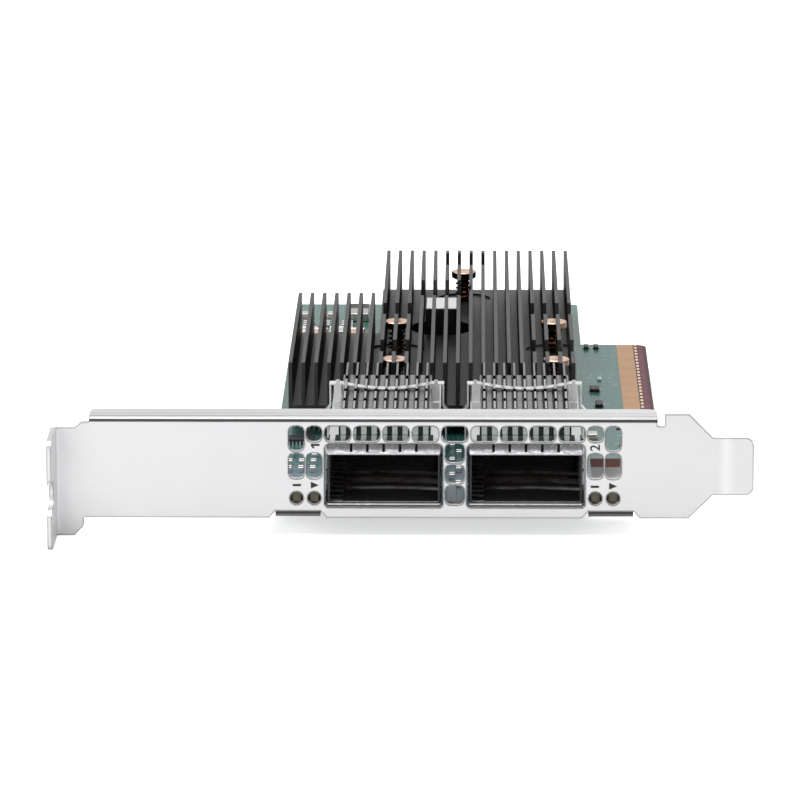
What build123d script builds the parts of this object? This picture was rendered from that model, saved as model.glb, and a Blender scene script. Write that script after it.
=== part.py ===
from build123d import *
import math
import os

# A dual-port network adapter card, in millimetres.
# X runs along the bracket, Y away from its outer face, Z up from the board's underside.
# The origin is at the middle of the bracket's length.

os.makedirs("parts", exist_ok=True)

# Circuit board
board_thickness = 1.57
board_left = -23.75
board_width = 68.90
board_front = 1.90
board_rear = 167.65
board_corner = 1.0
foot_width = 7.70
foot_rear = 14.0
shelf_width = 5.4
shelf_front = 34.0
tongue_depth = 12.60
tongue_front = 44.55
tongue_rear = 129.75
tongue_corner = 2.2
key_centre = 57.15
key_width = 1.90
key_depth = 7.40

# Edge contacts
contact_pitch = 1.0
contact_width = 0.70
contact_length = 3.15
contact_inset = 2.55
contact_plating = 0.05
contacts_before_key = 11
contacts_after_key = 71
key_contact_gap = 3.0

# Bracket sheet
sheet = 0.86
bend_inner = 0.25
bracket_length = 120.02
bracket_height = 18.42
bracket_drop = 0.95
blade_width = 10.19
blade_length = 7.05
blade_corner = 1.5
screw_tab_depth = 11.43
screw_tab_height = 19.12
screw_tab_drop = 3.17
screw_tab_corner = 1.6
screw_tab_root = 3.0
lobe_slope = 1.65
lobe_ease = 1.2
screw_slot_width = 4.42
screw_slot_bottom = 6.10
screw_slot_height = 9.17
screw_slot_mouth = 6.0
screw_slot_flare = 1.0
tab_bend_inner = 0.5
flange_left = -54.3
flange_right = 43.4
flange_reach = 6.4
flange_below_top = 0.58
flange_corner = 1.6
relief_width = 1.25
relief_depth = 1.55
shoulder_rise = 0.95
shoulder_run = 1.25

# Board tabs of the bracket and their screws
board_tab_width = 7.7
board_tab_reach = 9.4
board_tab_left = -18.45
board_tab_right = 35.5
board_tab_corner = 1.2
notch_rise = 1.30
notch_flare = 1.1
screw_radius = 1.45
screw_gap = 0.05
screw_hole_gap = 0.20
screw_head_radius = 2.6
screw_head_height = 1.5
screw_head_chamfer = 0.5
drive_length = 2.8
drive_width = 0.6
drive_depth = 0.8
screw_sides = 12
head_sides = 20
screw_y = 6.3
screw_tail = 0.8

# Bracket openings
port_middle = 8.60
port_pitch = 24.48
port_open_width = 20.30
port_open_bottom = 0.925
port_open_height = 11.225
port_open_radius = 1.0
port_open_clip = 0.40
vent_radius = 0.85
vent_pitch = 5.04
vent_width = 4.45
vent_count = 9
vent_top = 15.23
vent_height = 2.73
side_vent_width = 2.62
side_vent_inner = 24.20
side_vent_outer = 27.25
tall_vent_height = 4.32
lower_vent_gap = 0.45
lower_vent_height = 4.45
middle_vent_width = 3.25
middle_vent_heights = (3.43, 3.27, 3.37)
middle_vent_start = 12.21
middle_vent_gap = 0.37
lamp_hole_radius = 1.15
lamp_hole_sides = 12
vent_corner_flats = 2
lamp_z = 2.55

# Port cages
cage_sheet = 0.30
cage_floor = 0.20
cage_width = 19.30
cage_height = 9.98
cage_front = 1.30
cage_depth = 48.1
window_width = 15.30
window_front = 10.7
window_length = 34.6
cage_floor_length = 31.5
lance_reach = 0.45
lance_height = 0.30
lance_z = 4.60
leg_width = 0.90
leg_length = 0.9
leg_count = 4
leg_first = 8.0
leg_pitch = 12.0
leg_gap = 0.10

# Spring collars round the port mouths
mouth_width = 18.70
mouth_height = 8.58
collar_sheet = 0.25
collar_front = -0.60
collar_rear = 1.50
collar_gap = 0.10
sleeve_gap = 0.05
sleeve_length = 4.6
finger_slit = 0.45
finger_pitch = 2.80
finger_lip = 0.30
top_fingers = 6
side_fingers = 3

# Module connectors inside the cages
connector_width = 17.4
connector_height = 7.6
connector_depth = 13.6
connector_slot_width = 16.2
connector_slot_height = 2.6
connector_slot_depth = 8.0
connector_slot_z = 3.0
connector_rear_gap = 0.5
blade_pitch = 0.80
blade_count = 19
blade_thick = 0.35
blade_rise = 0.30

# Floating heat sinks over the ports
ride_gap = 0.05
ride_width = 15.90
ride_front = 9.5
ride_rear = 48.4
ride_base_top = 13.55
ride_fin_top = 15.85
ride_fin_count = 9
ride_fin_pitch = 1.79
ride_fin_thick = 0.36
ride_comb_gap = 0.75
ride_comb_floor = 0.12
ride_rows = ((11.5, 17.3), (19.6, 24.9), (27.2, 34.9), (37.8, 48.4))
pedestal_gap = 0.30
pedestal_dip = 0.20

# Clips that hold the floating heat sinks
clip_thick = 0.30
clip_width = 2.2
clip_side_gap = 0.10
clip_bow = 1.0
clip_leg_gap = 0.25
clip_kink = 1.1
clip_kink_z = 9.4
clip_kink_height = 1.4
clip_nub_width = 0.65
clip_nub_height = 0.8
clip_plate_gap = 0.15
clip_plate_width = 1.35

# Main heat sink
sink_gap = 2.1
sink_left = -21.68
sink_short_rear = 113.5
sink_long_rear = 155.0
sink_bottom = 4.65
sink_base_top = 7.25
sink_fin_top = 15.15
sink_fin_count = 23
sink_short_fins = 7
sink_fin_pitch = 2.327
sink_fin_thick = 0.68
pocket_radius = 5.20
pocket_depth = 0.35
pocket_sides = 24
pin_cut_length = 10.2
pin_cut_fins = 3
rear_cut_length = 11.6
coil_cut_front = 111.3
coil_cut_length = 14.4
coil_hole_width = 11.4
coil_hole_corner = 5.5
coil_hole_length = 13.7
coil_hole_flats = 6

# Spring pins through the heat sink
pin_span_x = 29.6
pin_span_y = 33.0
rear_pin_x = 9.8
rear_pin_y = 146.4
pin_head_radius = 2.38
pin_head_top = 12.75
pin_head_height = 1.3
pin_radius = 1.0
pin_hole_gap = 0.15
pin_board_gap = 0.20
pin_barb_radius = 1.5
pin_barb_gap = 0.10
pin_barb_length = 1.5
pin_tip_radius = 0.6
pin_sides = 8
pin_head_sides = 16
pin_slit = 0.5
pin_slit_length = 3.0
spring_wire = 0.42
spring_radius = 1.42
spring_turns = 4
spring_steps = 6
spring_seat_gap = 0.05

# Controller under the main heat sink
chip_x = 12.1
chip_y = 82.7
chip_size = 25.0
chip_thick = 1.50
lid_size = 19.0
lid_thick = 1.30
lid_rim = 22.5
lid_rim_thick = 0.50

# Tall power coil through the round opening, with its blank label
coil_x = 5.6
coil_y = 118.7
coil_width = 6.2
coil_length = 10.6
coil_top = 12.0
coil_corner = 0.5
label_margin = 0.25
label_thick = 0.10

# Small parts soldered on the board: sizes, then places
chip_cap_size = (1.0, 1.8, 0.9)
resistor_size = (0.8, 1.6, 0.5)
bulk_cap_size = (4.3, 7.3, 2.6)
regulator_size = (5.0, 5.0, 0.9)
low_coil_size = (6.5, 6.5, 2.9)
memory_size = (5.3, 5.3, 1.7)
crystal_size = (2.5, 3.2, 0.8)
solder_cap_size = (0.8, 1.6, 0.8)
lamp_size = (2.6, 1.5, 1.9)
lens_size = 1.5
lamp_front_gap = 0.25
corner_x = 12.5
corner_regulator_y = 161.5
memory_y = 153.2
crystal_y = 156.0
crystal_inset = 2.4
crystal_pitch = 5.2
strip_crystal_x = 0.5
strip_crystal_y = 51.0
bulk_y = 129.5
bulk_inset = 5.0
bulk_pitch = 7.2
bulk_grid = (2, 1)
rear_bulk_back = 6.65
rear_bulk_y = board_rear - rear_bulk_back
rear_bulk_x = (17.5, 24.5)
coil_spread = 11.5
low_coil_back = 37.15
low_coil_pitch = 9.5
rear_cap_y = 138.5
rear_cap_grid = (6, 2)
rear_cap_inset = 2.3
rear_cap_pitch = 1.8
rear_cap_row = 3.1
rear_resistor_y = 146.6
rear_resistor_grid = (8, 2)
rear_resistor_row = 2.4
rear_resistor_pitch = 1.5
step_resistor_y = 118.5
step_resistor_grid = (5, 2)
step_resistor_pitch = 1.6
chip_cap_reach = 11.0
chip_cap_back = 16.0
chip_cap_pitch = 2.2
chip_cap_grid = (11, 1)
solder_cap_reach = 8.0
solder_cap_pitch = 5.3
solder_cap_grid = (4, 4)
strip_parts = (
    (1.0, 126.4, (1.5, 2.4, 0.6)),
    (2.9, 126.4, (1.5, 2.4, 0.6)),
    (1.9, 89.0, (2.4, 3.0, 0.7)),
    (2.5, 76.3, (2.0, 3.2, 0.7)),
)
strip_resistor_x = 3.0
strip_resistor_y = (66.0, 98.0)
interface_size = (5.2, 4.4, 1.1)
interface_x = -19.4
interface_y = 45.8
channel_cap_y = (13.0, 19.0, 24.0, 30.5, 36.5, 42.0)
channel_cap_shift = 0.6
left_cap_y = 24.0
left_cap_grid = (3, 3)
left_cap_inset = 3.0
left_cap_pitch = 2.1
left_cap_row = 5.2

# Places worked out from the sizes above
seat_x = -bracket_length / 2
blade_end = bracket_length / 2
bracket_bottom = -bracket_drop
bracket_top = bracket_bottom + bracket_height
flange_top = bracket_top - flange_below_top
blade_middle = bracket_bottom + bracket_height / 2
shoulder = (bracket_height - blade_width) / 2
screw_tab_bottom = bracket_bottom - screw_tab_drop
screw_tab_top = screw_tab_bottom + screw_tab_height
port_centres = (port_middle - port_pitch / 2, port_middle + port_pitch / 2)
port_open_top = port_open_bottom + port_open_height
board_right = board_left + board_width
body_right = board_right - tongue_depth
foot_right = body_right + foot_width
shelf_right = body_right + shelf_width
cage_bottom = board_thickness
cage_top = cage_bottom + cage_height
cage_rear = cage_front + cage_depth
floor_top = cage_bottom + cage_floor
mouth_top = floor_top + mouth_height
ride_bottom = cage_top + ride_gap
strap_front = (ride_rows[2][1] + ride_rows[3][0] - clip_width) / 2
sink_front = cage_rear + sink_gap
pocket_z = sink_base_top - pocket_depth
pin_head_under = pin_head_top - pin_head_height
chip_top = board_thickness + chip_thick
lid_top = chip_top + lid_thick
pins = [
    (chip_x + side * pin_span_x / 2, chip_y + end * pin_span_y / 2)
    for side in (-1, 1)
    for end in (-1, 1)
]
pins.append((rear_pin_x, rear_pin_y))
tab_places = (board_tab_left, board_tab_right)
lamp_places = [
    port_middle + side * reach
    for side in (-1, 1)
    for reach in (side_vent_inner, side_vent_outer)
]

# Drawing planes: looking at the bracket from the front, and along it from the right
front = Plane(origin=(0, 0, 0), x_dir=(1, 0, 0), z_dir=(0, -1, 0))
along = Plane(origin=(0, 0, 0), x_dir=(0, 1, 0), z_dir=(1, 0, 0))


def block(x_range, y_range, z_range):
    """A box between two values on each axis."""
    spans = [(min(pair), max(pair)) for pair in (x_range, y_range, z_range)]
    middle = [(low + high) / 2 for low, high in spans]
    size = [high - low for low, high in spans]
    return Pos(*middle) * Box(*size)


def standing(x, y, z, size):
    """A box of a given size standing on height z, centred on x and y."""
    width, length, height = size
    return Pos(x, y, z + height / 2) * Box(width, length, height)


def from_front(shape, start, depth):
    """Push a shape drawn on the front plane back along Y."""
    return Pos(0, start, 0) * extrude(front * shape, amount=-depth)


def from_side(shape, x_range):
    """Push a shape drawn in Y and Z along X."""
    low, high = min(x_range), max(x_range)
    return Pos(low, 0, 0) * extrude(along * shape, amount=high - low)


def from_above(shape, z_range):
    """Push a shape drawn in X and Y up along Z."""
    low, high = min(z_range), max(z_range)
    return Pos(0, 0, low) * extrude(shape, amount=high - low)


def nearest(shape, x, y):
    """The corner of a flat shape that lies closest to a point."""
    return min(shape.vertices(), key=lambda corner: math.hypot(corner.X - x, corner.Y - y))


def outline(*points):
    return make_face(Polyline(*points, close=True))


def eased(width, height, radius, flats):
    """A rectangle whose corners are rounded with a few short flats."""
    points = []
    for turn, (side, end) in enumerate(((1, 1), (-1, 1), (-1, -1), (1, -1))):
        x = side * (width / 2 - radius)
        y = end * (height / 2 - radius)
        for flat in range(flats + 1):
            angle = math.radians(90) * (turn + flat / flats)
            points.append((x + radius * math.cos(angle), y + radius * math.sin(angle)))
    return outline(*points)


def bent_angle(corner, inward, end_a, end_b, inner):
    """A bent sheet in section: two legs from a sharp outer corner, with a rounded bend."""
    x, y = corner
    in_x, in_y = inward
    depth_x = x + in_x * sheet
    depth_y = y + in_y * sheet
    shape = outline((x, end_b), (x, y), (end_a, y), (end_a, depth_y), (depth_x, depth_y), (depth_x, end_b))
    shape = fillet(nearest(shape, x, y), inner + sheet)
    return fillet(nearest(shape, depth_x, depth_y), inner)


def bracket_outline():
    """The flat face of the bracket, without the parts that bend away from it."""
    root = seat_x + screw_tab_root
    slope_end = root + lobe_slope
    flange_start = flange_top - sheet - bend_inner - relief_depth / 2
    blade_root = blade_end - blade_length
    shape = outline(
        (seat_x + sheet, screw_tab_bottom),
        (root, screw_tab_bottom),
        (slope_end, screw_tab_bottom + lobe_slope),
        (slope_end, bracket_bottom),
        (blade_root - shoulder, bracket_bottom),
        (blade_root, blade_middle - blade_width / 2),
        (blade_end, blade_middle - blade_width / 2),
        (blade_end, blade_middle + blade_width / 2),
        (blade_root, blade_middle + blade_width / 2),
        (blade_root - shoulder, bracket_top),
        (flange_right + relief_width, bracket_top),
        (flange_right + relief_width, flange_top - relief_depth),
        (flange_right, flange_top - relief_depth),
        (flange_right, flange_start),
        (flange_left, flange_start),
        (flange_left, screw_tab_top + shoulder_rise),
        (flange_left - relief_width, screw_tab_top + shoulder_rise),
        (flange_left - relief_width - shoulder_run, screw_tab_top),
        (seat_x + sheet, screw_tab_top),
    )
    for z in (blade_middle - blade_width / 2, blade_middle + blade_width / 2):
        shape = fillet(nearest(shape, blade_end, z), blade_corner)
    shape = fillet(nearest(shape, slope_end, bracket_bottom), bend_inner)
    for x, z in ((root, screw_tab_bottom), (slope_end, screw_tab_bottom + lobe_slope)):
        shape = fillet(nearest(shape, x, z), lobe_ease)
    for x in tab_places:
        shape -= tab_notch(x)
    return shape


def tab_notch(x):
    """The flared notch that a board tab was bent out of."""
    half = board_tab_width / 2
    rise = bracket_bottom + notch_rise
    return outline(
        (x - half - notch_flare, bracket_bottom),
        (x - half, rise),
        (x + half, rise),
        (x + half + notch_flare, bracket_bottom),
    )


def vent(x, top, width, height):
    """One rounded vent slot, hung from its top edge."""
    radius = min(vent_radius, width / 2, height / 2)
    return Pos(x, top - height / 2) * eased(width, height, radius, vent_corner_flats)


def vent_field():
    """All the rounded vents round the two ports."""
    shapes = []
    for step in range(vent_count):
        x = port_middle + (step - (vent_count - 1) / 2) * vent_pitch
        shapes.append(vent(x, vent_top, vent_width, vent_height))
    lower_top = vent_top - tall_vent_height - lower_vent_gap
    for side in (-1, 1):
        inner = port_middle + side * side_vent_inner
        outer = port_middle + side * side_vent_outer
        shapes.append(vent(inner, vent_top, side_vent_width, vent_height))
        shapes.append(vent(outer, vent_top, side_vent_width, tall_vent_height))
        shapes.append(vent(inner, lower_top, side_vent_width, lower_vent_height))
        shapes.append(vent(outer, lower_top, side_vent_width, lower_vent_height))
    top = middle_vent_start
    for height in middle_vent_heights:
        shapes.append(vent(port_middle, top, middle_vent_width, height))
        top -= height + middle_vent_gap
    for x in lamp_places:
        shapes.append(Pos(x, lamp_z) * RegularPolygon(lamp_hole_radius, lamp_hole_sides))
    return shapes


def port_opening(x):
    """A port opening, with rounded top corners and clipped bottom ones."""
    middle = (port_open_bottom + port_open_top) / 2
    shape = Pos(x, middle) * Rectangle(port_open_width, port_open_height)
    for side in (-1, 1):
        edge = x + side * port_open_width / 2
        shape = fillet(nearest(shape, edge, port_open_top), port_open_radius)
        shape = chamfer(nearest(shape, edge, port_open_bottom), port_open_clip)
    return shape


def screw_tab():
    """The tab that bends forward at the left end, with its open screw slot."""
    section = bent_angle(
        (seat_x - sheet, sheet),
        (1, -1),
        seat_x + screw_tab_root,
        -screw_tab_depth,
        tab_bend_inner,
    )
    tab = from_above(section, (screw_tab_bottom, screw_tab_top))
    rim = tab.edges().filter_by(Axis.X).group_by(Axis.Y)[0]
    tab = fillet(rim, screw_tab_corner)
    slot_z = screw_tab_bottom + screw_slot_height
    slot_y = -screw_slot_bottom - screw_slot_width / 2
    slot = Pos(slot_y, slot_z) * Circle(screw_slot_width / 2)
    flare_y = -screw_tab_depth + screw_slot_flare
    beyond = -screw_tab_depth - sheet
    slot += outline(
        (slot_y, slot_z - screw_slot_width / 2),
        (slot_y, slot_z + screw_slot_width / 2),
        (flare_y, slot_z + screw_slot_width / 2),
        (-screw_tab_depth, slot_z + screw_slot_mouth / 2),
        (beyond, slot_z + screw_slot_mouth / 2),
        (beyond, slot_z - screw_slot_mouth / 2),
        (-screw_tab_depth, slot_z - screw_slot_mouth / 2),
        (flare_y, slot_z - screw_slot_width / 2),
    )
    return tab - from_side(slot, (seat_x - 2 * sheet, seat_x + sheet))


def top_flange():
    """The stiffening flange folded back along the top edge."""
    lower = flange_top - sheet - bend_inner - relief_depth
    section = bent_angle((0, flange_top), (1, -1), flange_reach, lower, bend_inner)
    flange = from_side(section, (flange_left, flange_right))
    corners = flange.edges().filter_by(Axis.Z).group_by(Axis.Y)[-1]
    return fillet(corners, flange_corner)


def board_tab(x):
    """One tab bent back under the board, with its screw hole."""
    upper = bracket_bottom + notch_rise + sheet
    section = bent_angle((0, -sheet), (1, 1), board_tab_reach, upper, bend_inner)
    tab = from_side(section, (x - board_tab_width / 2, x + board_tab_width / 2))
    corners = tab.edges().filter_by(Axis.Z).group_by(Axis.Y)[-1]
    tab = fillet(corners, board_tab_corner)
    hole = Pos(x, screw_y) * RegularPolygon(screw_radius + screw_gap, screw_sides)
    return tab - from_above(hole, (-2 * sheet, sheet))


def bracket():
    plate = from_front(bracket_outline(), 0, sheet)
    body = plate + screw_tab() + top_flange()
    for x in tab_places:
        body += board_tab(x)
    cuts = vent_field() + [port_opening(x) for x in port_centres]
    for shape in cuts:
        body -= from_front(shape, -sheet, 3 * sheet)
    return body


def contact_rows():
    """The Y of every edge contact, on both sides of the key."""
    half_gap = key_contact_gap / 2
    before = [key_centre - half_gap - step * contact_pitch for step in range(contacts_before_key)]
    after = [key_centre + half_gap + step * contact_pitch for step in range(contacts_after_key)]
    return before + after


def edge_contacts(z_range):
    """One plated contact at every place in the row."""
    outer = board_right - contact_inset
    x_range = (outer - contact_length, outer)
    half = contact_width / 2
    return [block(x_range, (y - half, y + half), z_range) for y in contact_rows()]


def cage_legs(centre):
    """The places of a cage's soldered legs, at the middle of each side wall."""
    reach = (cage_width - cage_sheet) / 2
    return [
        (centre + side * reach, leg_first + step * leg_pitch)
        for side in (-1, 1)
        for step in range(leg_count)
    ]


def circuit_board():
    shape = outline(
        (board_left, board_front),
        (foot_right, board_front),
        (foot_right, foot_rear),
        (body_right, foot_rear),
        (body_right, shelf_front),
        (shelf_right, shelf_front),
        (shelf_right, tongue_front),
        (board_right, tongue_front),
        (board_right, tongue_rear),
        (body_right, tongue_rear),
        (body_right, board_rear),
        (board_left, board_rear),
    )
    shape = fillet(nearest(shape, board_right, tongue_rear), tongue_corner)
    for y in (board_front, board_rear):
        shape = fillet(nearest(shape, board_left, y), board_corner)
    shape = fillet(nearest(shape, body_right, board_rear), board_corner)
    shape = fillet(nearest(shape, foot_right, foot_rear), board_corner)
    shape -= Pos(board_right - key_depth / 2, key_centre) * Rectangle(key_depth, key_width)
    for x, y in pins:
        shape -= Pos(x, y) * RegularPolygon(pin_radius + pin_board_gap, pin_sides)
    for x in tab_places:
        shape -= Pos(x, screw_y) * RegularPolygon(screw_radius + screw_hole_gap, screw_sides)
    slot = Rectangle(cage_sheet + 2 * leg_gap, leg_width + 2 * leg_gap)
    for centre in port_centres:
        for x, y in cage_legs(centre):
            shape -= Pos(x, y) * slot
    return from_above(shape, (0, board_thickness))


def port_cage(centre):
    """A folded sheet cage, open in front, with a window for the heat sink's foot."""
    half = cage_width / 2
    inner = half - cage_sheet
    y_range = (cage_front, cage_rear)
    cage = block((centre - half, centre + half), y_range, (cage_bottom, cage_top))
    hollow = (cage_front - 1, cage_rear - cage_sheet)
    cage -= block((centre - inner, centre + inner), hollow, (floor_top, cage_top - cage_sheet))
    behind = (cage_front + cage_floor_length, cage_rear - cage_sheet)
    cage -= block((centre - inner, centre + inner), behind, (cage_bottom - 1, floor_top + 1))
    window = window_width / 2
    cage -= block(
        (centre - window, centre + window),
        (window_front, window_front + window_length),
        (cage_top - 2 * cage_sheet, cage_top + 1),
    )
    for x, y in cage_legs(centre):
        cage += block(
            (x - cage_sheet / 2, x + cage_sheet / 2),
            (y - leg_width / 2, y + leg_width / 2),
            (-leg_length, cage_bottom + cage_sheet),
        )
    for side in (-1, 1):
        wall = centre + side * (half - cage_sheet / 2)
        tip = centre + side * (half + lance_reach)
        y_span = (strap_front, strap_front + clip_width)
        cage += block((wall, tip), y_span, (lance_z, lance_z + lance_height))
    return cage


def tapered(centre, near, far, y_range):
    """A box that grows from one rectangle to another along Y."""
    rings = []
    for (width, bottom, top), y in zip((near, far), y_range):
        ring = Pos(centre, (bottom + top) / 2) * Rectangle(width, top - bottom)
        rings.append(Pos(0, y, 0) * (front * ring))
    return loft(rings, ruled=True)


def port_collar(centre):
    """The spring-finger collar between a cage's mouth and the bracket."""
    thick = collar_sheet
    wide = port_open_width - 2 * collar_gap
    low = port_open_bottom + collar_gap
    high = port_open_top - collar_gap
    ends = (collar_front, collar_rear)
    outer_near = (mouth_width + 2 * thick, floor_top - thick, mouth_top + thick)
    inner_near = (mouth_width, floor_top, mouth_top)
    inner_far = (wide - 2 * thick, low + thick, high - thick)
    collar = tapered(centre, outer_near, (wide, low, high), ends)
    slit = finger_slit / 2
    fingers_y = (collar_front + finger_lip, collar_rear + 1)
    for step in range(1, top_fingers):
        x = centre + (step - top_fingers / 2) * finger_pitch
        collar -= block((x - slit, x + slit), fingers_y, (mouth_top, high + 1))
    for step in range(1, side_fingers):
        z = (floor_top + mouth_top) / 2 + (step - side_fingers / 2) * finger_pitch
        collar -= block((centre - wide, centre + wide), fingers_y, (z - slit, z + slit))
    collar += collar_sleeve(centre)
    return collar - tapered(centre, inner_near, inner_far, ends)


def collar_sleeve(centre):
    """The part of the collar that grips the cage's top and side walls."""
    half = cage_width / 2 + sleeve_gap
    top = cage_top + sleeve_gap
    start = collar_rear - collar_sheet
    thick = collar_sheet
    y_range = (start, start + sleeve_length)
    bottom = board_thickness + sleeve_gap
    sleeve = block((centre - half - thick, centre + half + thick), y_range, (bottom, top + thick))
    return sleeve - block((centre - half, centre + half), (start - 1, start + sleeve_length + 1), (bottom - 1, top))


def port_connector(centre):
    """The moulded connector at the back of a cage, with its slot for the module's edge."""
    rear = cage_rear - cage_sheet - connector_rear_gap
    face = rear - connector_depth
    half = connector_width / 2
    top = board_thickness + connector_height
    body = block((centre - half, centre + half), (face, rear), (board_thickness, top))
    slot = connector_slot_width / 2
    low = board_thickness + connector_slot_z
    slot_y = (face - 1, face + connector_slot_depth)
    body -= block((centre - slot, centre + slot), slot_y, (low, low + connector_slot_height))
    step = connector_slot_depth / 2
    lip = (face - 1, face + step)
    return body - block((centre - half, centre + half), lip, (low + 2 * connector_slot_height, top + 1))


def port_contacts(centre):
    """Two rows of contact blades along the connector's slot."""
    rear = cage_rear - cage_sheet - connector_rear_gap
    face = rear - connector_depth
    low = board_thickness + connector_slot_z
    high = low + connector_slot_height
    y_range = (face + contact_plating, face + connector_slot_depth)
    blades = []
    for step in range(blade_count):
        x = centre + (step - (blade_count - 1) / 2) * blade_pitch
        x_range = (x - blade_thick / 2, x + blade_thick / 2)
        blades.append(block(x_range, y_range, (low, low + blade_rise)))
        blades.append(block(x_range, y_range, (high - blade_rise, high)))
    return blades


def port_heat_sink(centre):
    """A finned heat sink whose foot reaches through the cage's window."""
    half = ride_width / 2
    body = block((centre - half, centre + half), (ride_front, ride_rear), (ride_bottom, ride_base_top))
    foot = window_width / 2 - pedestal_gap
    foot_y = (window_front + pedestal_gap, window_front + window_length - pedestal_gap)
    foot_z = (cage_top - cage_sheet - pedestal_dip, ride_base_top)
    body += block((centre - foot, centre + foot), foot_y, foot_z)
    for row in ride_rows:
        for step in range(ride_fin_count):
            x = centre + (step - (ride_fin_count - 1) / 2) * ride_fin_pitch
            x_range = (x - ride_fin_thick / 2, x + ride_fin_thick / 2)
            body += block(x_range, row, (ride_base_top - ride_gap, ride_fin_top))
    for step in range(1, ride_fin_count):
        x = centre + (step - ride_fin_count / 2) * ride_fin_pitch
        x_range = (x - ride_comb_gap / 2, x + ride_comb_gap / 2)
        slot_y = (ride_front - 1, ride_rows[0][1])
        body -= block(x_range, slot_y, (ride_bottom + ride_comb_floor, ride_fin_top + 1))
    return body


def port_clip(centre):
    """A bowed strap over the heat sink, with kinked legs that hook under the cage's lances."""
    half = cage_width / 2
    low = ride_base_top + ride_gap + clip_thick / 2
    high = low + clip_bow
    bow_end = ride_width / 2 + clip_side_gap
    leg = half + clip_leg_gap + clip_thick / 2
    hook_z = lance_z - clip_thick
    strap = ThreePointArc((-bow_end, high), (0, low), (bow_end, high))
    shape = trace(strap, clip_thick)
    for side in (-1, 1):
        path = Polyline(
            (side * bow_end, high),
            (side * leg, high),
            (side * leg, clip_kink_z + clip_kink_height),
            (side * (leg + clip_kink), clip_kink_z),
            (side * (leg + lance_reach), clip_kink_z - clip_kink_height),
            (side * (leg + lance_reach), hook_z),
            (side * (half + clip_side_gap + clip_thick / 2), hook_z),
        )
        shape += trace(path, clip_thick)
    clip = from_front(Pos(centre, 0) * shape, strap_front, clip_width)
    for side in (-1, 1):
        plate_in = centre + side * bow_end
        plate_out = plate_in + side * clip_plate_width
        plate_y = (strap_front, strap_front + clip_thick)
        clip += block((plate_in, plate_out), plate_y, (cage_top + clip_plate_gap, high))
        nub = (plate_in + plate_out) / 2
        nub_x = (nub - clip_nub_width / 2, nub + clip_nub_width / 2)
        clip += block(nub_x, plate_y, (high, high + clip_nub_height))
    return clip


def fin_x(step):
    return sink_left + sink_fin_thick / 2 + step * sink_fin_pitch


def fin_cut(first, count, y_range):
    """Clear a few neighbouring fins away over a stretch of their length."""
    left = fin_x(first) - sink_fin_pitch / 2
    x_range = (left, left + count * sink_fin_pitch)
    return block(x_range, y_range, (sink_base_top, sink_fin_top + 1))


def main_heat_sink():
    """One finned block: an L-shaped base, straight fins, pin pockets and cut-outs."""
    right = fin_x(sink_fin_count - 1) + sink_fin_thick / 2
    step_x = fin_x(sink_short_fins) - sink_fin_pitch / 2
    z_range = (sink_bottom, sink_base_top)
    body = block((sink_left, right), (sink_front, sink_short_rear), z_range)
    body += block((step_x, right), (sink_front, sink_long_rear), z_range)
    for step in range(sink_fin_count):
        rear = sink_short_rear if step < sink_short_fins else sink_long_rear
        x_range = (fin_x(step) - sink_fin_thick / 2, fin_x(step) + sink_fin_thick / 2)
        body += block(x_range, (sink_front, rear), (sink_bottom, sink_fin_top))
    for x, y in pins:
        nearest_fin = round((x - fin_x(0)) / sink_fin_pitch)
        first = nearest_fin - pin_cut_fins // 2
        count = pin_cut_fins
        length = pin_cut_length
        if nearest_fin > sink_fin_count - pin_cut_fins:
            first = sink_fin_count - pin_cut_fins - 1
            count = pin_cut_fins + 1
        if y == rear_pin_y:
            count = pin_cut_fins + 1
            length = rear_cut_length
        body -= fin_cut(first, count, (y - length / 2, y + length / 2))
        pocket = Pos(x, y) * RegularPolygon(pocket_radius, pocket_sides)
        body -= from_above(pocket, (pocket_z, sink_base_top))
        hole = Pos(x, y) * RegularPolygon(pin_radius + pin_hole_gap, pin_sides)
        body -= from_above(hole, (sink_bottom - 1, pocket_z + 1))
    first = round((coil_x - fin_x(0)) / sink_fin_pitch) - 2
    cut_y = (coil_cut_front, coil_cut_front + coil_cut_length)
    body -= fin_cut(first, 4, cut_y)
    opening = eased(coil_hole_width, coil_hole_length, coil_hole_corner, coil_hole_flats)
    return body - from_above(Pos(coil_x, coil_y) * opening, (sink_bottom - 1, sink_fin_top + 1))


def spring_pin(x, y):
    """A push pin: a broad head, a shaft and a slit barb that snaps in under the board."""
    barb_top = -pin_barb_gap
    tip = barb_top - pin_barb_length
    pin = from_above(RegularPolygon(pin_head_radius, pin_head_sides), (pin_head_under, pin_head_top))
    pin += from_above(RegularPolygon(pin_radius, pin_sides), (barb_top, pin_head_under))
    barb = [
        Pos(0, 0, tip) * RegularPolygon(pin_tip_radius, pin_sides),
        Pos(0, 0, barb_top) * RegularPolygon(pin_barb_radius, pin_sides),
    ]
    pin += loft(barb, ruled=True)
    slit = pin_slit / 2
    pin -= block((-slit, slit), (-pin_radius, pin_radius), (tip, tip + pin_slit_length))
    return Pos(x, y, 0) * pin


def pin_spring(x, y):
    """The coil spring between a pin's head and the floor of its pocket, in short straight steps."""
    low = pocket_z + spring_wire / 2 + spring_seat_gap
    high = pin_head_under - spring_wire / 2 - spring_seat_gap
    count = spring_turns * spring_steps
    points = []
    for step in range(count + 1):
        angle = math.radians(360) * step / spring_steps
        across = (spring_radius * math.cos(angle), spring_radius * math.sin(angle))
        points.append((*across, (high - low) * step / count))
    path = Polyline(*points)
    ring = Plane(origin=path @ 0, z_dir=path % 0) * RegularPolygon(spring_wire / 2, 4)
    return Pos(x, y, low) * sweep(ring, path=path, transition=Transition.RIGHT)


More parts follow.
